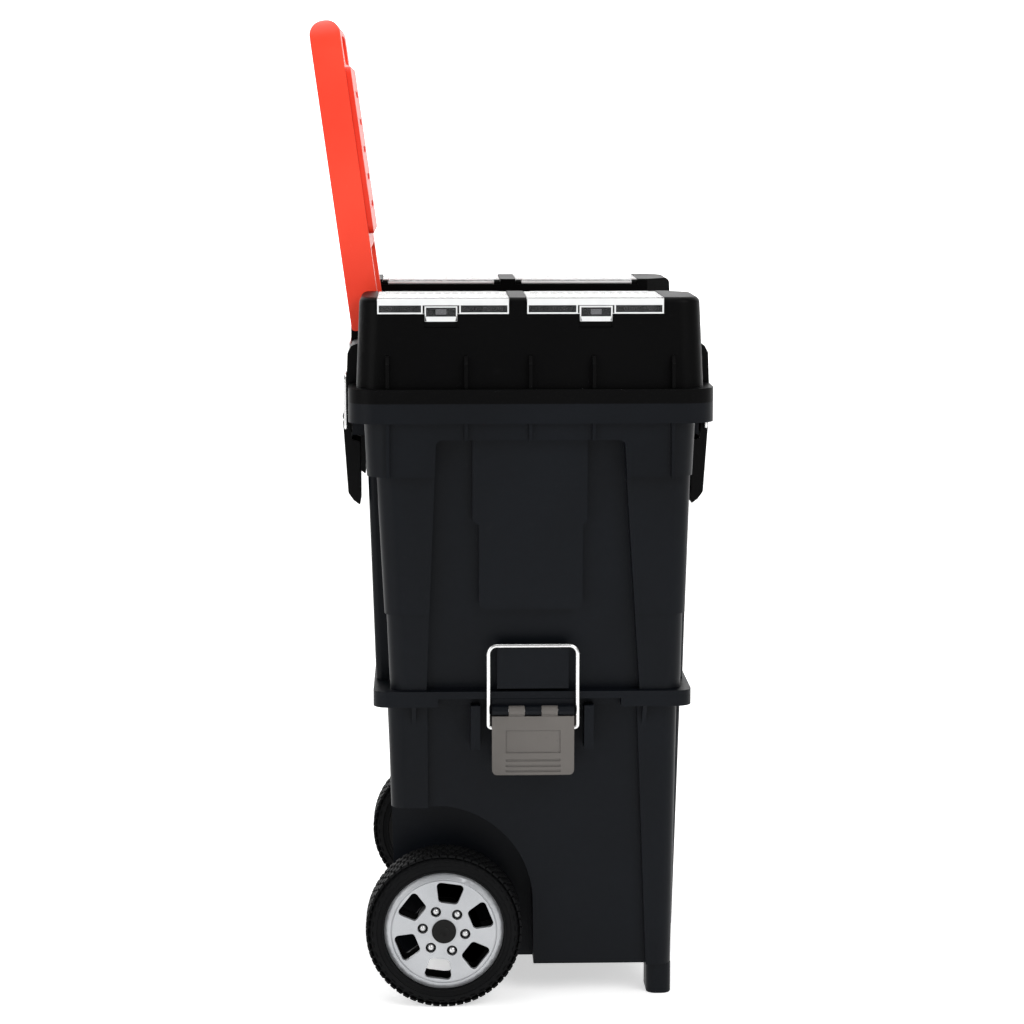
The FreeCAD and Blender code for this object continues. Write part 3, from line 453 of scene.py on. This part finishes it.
# ---- tyres ---------------------------------------------------------------------------
TREAD_DEPTH = 1.5 * MM
TREAD_COUNT = 60
DASH_COUNT = 42
BEAD_RADIUS = 57.6 * MM
SHOULDER_DROP = 0.55 * MM       # shoulder blocks sit lower than the centre ones
CENTRE, SHOULDER, DASH = 0, 1, 2
TREAD_ROWS = [(CENTRE, 0.0, 0.0), (CENTRE, -10.2, 0.5), (CENTRE, 10.2, 0.5),
              (SHOULDER, -16.6, 0.0), (SHOULDER, 16.6, 0.0)]    # kind, mm along, phase


def tyre_body(side, centre, radius, bead, half):
    """Turned tyre carcass: rounded shoulders, a raised bead and a sidewall crease."""
    outer = radius - TREAD_DEPTH
    profile = [(0.0, outer + 0.3 * MM), (half - 14 * MM, outer), (half - 6 * MM, outer - 0.8 * MM),
               (half - 2.4 * MM, outer - 3.4 * MM), (half - 0.6 * MM, outer - 6.6 * MM),
               (half - 0.2 * MM, outer - 9.0 * MM), (half - 0.9 * MM, outer - 9.6 * MM),
               (half - 0.9 * MM, bead + 2.6 * MM), (half - 0.1 * MM, bead + 1.9 * MM),
               (half - 0.1 * MM, bead + 0.4 * MM), (half - 0.8 * MM, bead)]
    profile = [(-x, r) for x, r in reversed(profile[1:])] + profile
    shape = bmesh.new()
    steps = 96
    loops = []
    for x, r in profile:
        loops.append([shape.verts.new((centre.x + side * x,
                                       centre.y + r * math.sin(2 * math.pi * i / steps),
                                       centre.z + r * math.cos(2 * math.pi * i / steps)))
                      for i in range(steps)])
    for first, second in zip(loops, loops[1:] + loops[:1]):
        for i in range(steps):
            j = (i + 1) % steps
            shape.faces.new((first[i], first[j], second[j], second[i]))
    return mesh_from(shape, "tyre", 40)


def joined(meshes, name, material):
    """Several meshes as one."""
    shape = bmesh.new()
    for mesh in meshes:
        shape.from_mesh(mesh)
    mesh = bpy.data.meshes.new(name)
    shape.to_mesh(mesh)
    shape.free()
    mesh.materials.append(material)
    return mesh


def make_tyres():
    centre_block = pattern_object(chamfered_block(9 * MM, 6.2 * MM, 1.85 * MM), "centre_block")
    shoulder_block = pattern_object(chamfered_block(9 * MM, 6.6 * MM, 2.1 * MM),
                                    "shoulder_block")
    dash = pattern_object(chamfered_block(0.9 * MM, 5.0 * MM, 1.4 * MM, 0.9), "shoulder_dash")
    rubber = finishes["tyre"]
    trees = [ring_tree(block, rubber) for block in (centre_block, shoulder_block, dash)]
    for side, sign in (("left", -1), ("right", 1)):
        low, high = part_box(side + "_tyre")
        centre = (low + high) / 2
        radius = (high.z - low.z) / 2
        half = (high.x - low.x) / 2
        base = radius - TREAD_DEPTH - 0.35 * MM
        meshes = [tyre_body(sign, centre, radius, BEAD_RADIUS, half)]
        for kind, along, phase in TREAD_ROWS:
            drop = SHOULDER_DROP if kind == SHOULDER else 0.0
            mesh = trees[kind].run({"Count": TREAD_COUNT, "Radius": base - drop,
                                    "Along": along * MM, "Phase": phase})
            mesh.transform(Matrix.Translation(centre))
            meshes.append(mesh)
        for along in (-1, 1):
            mesh = trees[DASH].run({"Count": DASH_COUNT, "Radius": radius - 6.6 * MM,
                                 "Along": along * (half - 1.1 * MM), "Phase": 0.25})
            mesh.transform(Matrix.Translation(centre))
            meshes.append(mesh)
        mesh = joined(meshes, side + "_tyre", rubber)
        piece = new_piece(side + "_treaded_tyre", mesh, "tyre", side + "_wheel")
        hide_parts(side + "_tyre")


# ---- organiser covers ----------------------------------------------------------------
LAP_DROP = 15 * MM
TAB_OFFSET = 63 * MM            # from a cover's front end to the middle of its tab
TAB_HALF = 15 * MM
FROST_DROP = 7 * MM             # the side lap is frosted down to here
BEAD_WIDTH = 1.4 * MM
TAB_LINE = 1.1 * MM
PIP_PITCH = 8 * MM
PIP_MARGIN = 11 * MM


def slab(shape, x_range, y_range, z_range, narrow=0.0, material=0):
    """Box between the ranges; its lower edge can be narrower by narrow at each end."""
    x0, x1 = sorted(x_range)
    y0, y1 = y_range
    z0, z1 = z_range
    places = [(y0 + narrow, z0), (y1 - narrow, z0), (y1, z1), (y0, z1)]
    near, far = [[shape.verts.new((x, y, z)) for y, z in places] for x in (x0, x1)]
    faces = [shape.faces.new(near), shape.faces.new(far[::-1])]
    for i in range(4):
        j = (i + 1) % 4
        faces.append(shape.faces.new((near[j], near[i], far[i], far[j])))
    for face in faces:
        face.material_index = material


def cover_beads(low, high, sign):
    """Raised edges of the side lap and the moulded frame of the snap tab, in whiter clear plastic
    that is a painted highlight on these edges; the lap's frosted band is in the same plastic.
    """
    shape = bmesh.new()
    face = high.x - 1 * MM if sign > 0 else low.x + 1 * MM
    lap = (face - sign * 0.3 * MM, face + sign * 0.5 * MM)
    tab = (face + sign * 0.7 * MM, face + sign * 0.98 * MM)
    top = high.z
    line = BEAD_WIDTH
    band = top - FROST_DROP
    bottom = top - LAP_DROP
    middle = low.y + TAB_OFFSET
    left = middle - TAB_HALF
    right = middle + TAB_HALF
    for y0, y1 in ((low.y, left - 2 * MM), (right + 2 * MM, high.y)):
        slab(shape, lap, (y0, y1), (bottom, bottom + line))
        slab(shape, lap, (y0, y0 + line), (bottom + line, band))
        slab(shape, lap, (y1 - line, y1), (bottom + line, band))
    slab(shape, lap, (low.y, high.y), (band, top - 0.8 * MM))
    slab(shape, tab, (left, right), (top - 9 * MM, top - 8 * MM))
    for y in (left, right - TAB_LINE):
        slab(shape, tab, (y, y + TAB_LINE), (top - 17 * MM, top - 9 * MM))
    slab(shape, tab, (left + 0.6 * MM, right - 0.6 * MM), (top - 22 * MM, top - 17.4 * MM),
         1.2 * MM)
    slab(shape, tab, (middle - 5 * MM, middle + 5 * MM), (top - 15.5 * MM, top - 10.5 * MM),
         0.0, 1)
    mesh = mesh_from(shape, "cover_beads")
    mesh.materials.append(clear_frost_and_edge_highlight)
    mesh.materials.append(clip_centre)
    return mesh


def make_covers():
    top_area = 200 * MM * MM        # level faces larger than this are frosted
    edge_area = 40 * MM * MM        # smaller faces are edges, given whiter plastic as a painted highlight
    dot = pattern_object(low_dome(1.7 * MM, 0.3 * MM), "cover_pip")
    tree = grid_tree(dot, clear_top)
    for node in [n for n, slot in node_slot.items() if slot == "clear_plastic"]:
        sign = -1 if node.startswith("left") else 1
        piece = softened(node, 0.5 * MM)
        piece.data.materials.append(clear_top)
        piece.data.materials.append(clear_frost_and_edge_highlight)
        low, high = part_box(node)
        for face in piece.data.polygons:
            level = abs(face.normal.z) > 0.9
            if level and face.area > top_area:
                face.material_index = 1
            elif face.area < edge_area:
                # painted highlight: edge faces get the whiter, more opaque clear plastic
                face.material_index = 2
        span = high - low
        count_x = int((span.x - 2 * PIP_MARGIN) / PIP_PITCH)
        count_y = int((span.y - 1.4 * PIP_MARGIN) / PIP_PITCH)
        pips = tree.run({"Size X": (count_x - 1) * PIP_PITCH,
                         "Size Y": (count_y - 1) * PIP_PITCH,
                         "Count X": count_x, "Count Y": count_y})
        middle = (low + high) / 2
        pips.transform(Matrix.Translation((middle.x, middle.y, high.z - 0.3 * MM)))
        for face in pips.polygons:
            face.use_smooth = True
        new_piece(node + "_pips", pips, "clear_plastic", node_body[node])
        beads = cover_beads(low, high, sign)
        new_piece(node + "_beads", beads, "clear_plastic", node_body[node])


# ---- all pieces ----------------------------------------------------------------------
EDGE_ROUNDING = {
    "lower_bin": 0.9, "upper_box": 0.9, "lid": 0.9, "front_feet": 1.2, "lid_catches": 0.9,
    "handle_bracket": 0.9, "pull_handle": 2.2, "handle_plate": 1.0, "wheel_hub": 0.6,
    "hub_cap": 0.7, "centre_cap": 0.8, "lever": 0.7, "cap_screws": 0.4,
}


def edge_rounding(node):
    for ending, size in EDGE_ROUNDING.items():
        if node.endswith(ending):
            return size * MM
    return 0.0


for node, slot in node_slot.items():
    if slot == "clear_plastic" or node.endswith("_tyre"):
        continue
    softened(node, edge_rounding(node))
make_tyres()
make_covers()


# ---- floor, light and camera ---------------------------------------------------------
WORLD_STRENGTH = 0.42
CAMERA_PLACE = Vector((-2.7501, 0.0798, 0.8340))
CAMERA_YAW = math.radians(-1.790)
CAMERA_PITCH = math.radians(7.957)
SENSOR_WIDTH = 36.0
LENS = 96.12


def paper(name, glow):
    """White studio paper that glows a little, so that it stays white."""
    recipe = Recipe(name)
    patches = recipe.noise(1.5, 3.0)
    recipe.set(Base_Color=recipe.mix(patches, colour(0.88, 0.88, 0.88), colour(0.9, 0.9, 0.9)),
               Roughness=0.8)
    recipe.set(Emission_Color=colour(1, 1, 1), Emission_Strength=glow)
    return recipe.material


def make_stage(name, glow, place, turn):
    shape = bmesh.new()
    bmesh.ops.create_grid(shape, x_segments=1, y_segments=1, size=12)
    shape.transform(Matrix.Translation(place) @ Matrix.Rotation(turn, 4, "Y"))
    mesh = mesh_from(shape, name)
    mesh.materials.append(paper(name + "_paper", glow))
    sheet = bpy.data.objects.new(name, mesh)
    bpy.context.scene.collection.objects.link(sheet)


def make_light(name, place, aim, size, power):
    lamp = bpy.data.lights.new(name, "AREA")
    lamp.shape = "RECTANGLE"
    lamp.size, lamp.size_y = size
    lamp.energy = power
    light = bpy.data.objects.new(name, lamp)
    light.location = place
    light.rotation_euler = (Vector(aim) - Vector(place)).to_track_quat("-Z", "Y").to_euler()
    bpy.context.scene.collection.objects.link(light)


def make_world():
    world = bpy.data.worlds.new("studio")
    world.use_nodes = True
    sky = world.node_tree.nodes["Background"].inputs
    sky["Color"].default_value = (1, 1, 1, 1)
    sky["Strength"].default_value = WORLD_STRENGTH
    bpy.context.scene.world = world


def make_camera():
    level = math.cos(CAMERA_PITCH)
    forward = Vector((level * math.cos(CAMERA_YAW), level * math.sin(CAMERA_YAW),
                      -math.sin(CAMERA_PITCH)))
    lens = bpy.data.cameras.new("camera")
    lens.sensor_width = SENSOR_WIDTH
    lens.lens = LENS
    camera = bpy.data.objects.new("camera", lens)
    camera.location = CAMERA_PLACE
    camera.rotation_euler = forward.to_track_quat("-Z", "Y").to_euler()
    bpy.context.scene.collection.objects.link(camera)
    bpy.context.scene.camera = camera


make_stage("floor", 0.55, (0, 0, 0), 0)
make_stage("backdrop", 1.0, (9, 0, 0), -math.pi / 2)
make_world()
make_light("key", (-2.2, -1.6, 2.3), (0, 0, 0.45), (1.8, 1.8), 42)
make_light("fill", (-2.2, 2.2, 1.3), (0, 0, 0.45), (1.6, 2.0), 22)
make_light("top", (0.2, 0.2, 2.8), (0, 0, 0.4), (2.0, 2.0), 26)
make_camera()
bpy.context.scene.view_settings.view_transform = "Standard"
